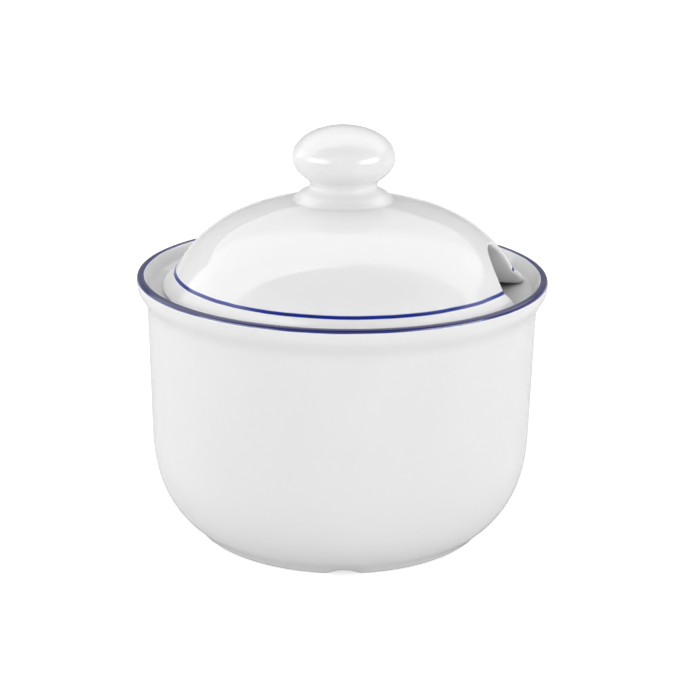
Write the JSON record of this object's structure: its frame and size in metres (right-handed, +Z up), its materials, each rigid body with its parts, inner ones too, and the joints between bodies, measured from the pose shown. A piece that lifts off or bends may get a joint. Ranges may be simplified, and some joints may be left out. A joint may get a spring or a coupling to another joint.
{
  "type": "covered sugar bowl",
  "caption": "Round footed porcelain sugar bowl with a rolled lip, and a domed lid that lifts off, with a ball knob and an arched notch for a spoon handle.",
  "frame": {"origin": "on the table, under the centre of the foot ring", "axes": "+Z up along the axis of bowl, lid and knob; +X towards the right of the standing bowl, with the spoon notch in the lid 11 degrees from +X towards -Y; -Y towards the front"},
  "size_m": [0.1, 0.1, 0.0999],
  "materials": {
    "bowl_porcelain": "clear gloss glaze on white porcelain, cobalt-blue band on the lip",
    "lid_porcelain": "clear gloss glaze on white porcelain, thin cobalt-blue line round the foot of the dome",
    "knob_porcelain": "clear gloss glaze on white porcelain"
  },
  "bodies": {
    "bowl": {"bowl": "bowl_porcelain"},
    "lid_knob": {"lid_knob": "knob_porcelain"},
    "lid_shell": {"lid_shell": "lid_porcelain"}
  },
  "joints": [
    {"name": "lid_lift", "type": "slide", "parent": "bowl", "child": "lid_knob", "axis": [0, 0, 1], "range_m": [0, 0.06]},
    {"name": "lid_turn", "type": "hinge", "parent": "lid_knob", "child": "lid_shell", "pos_m": [0, 0, 0.0816], "axis": [0, 0, 1], "continuous": true}
  ]
}
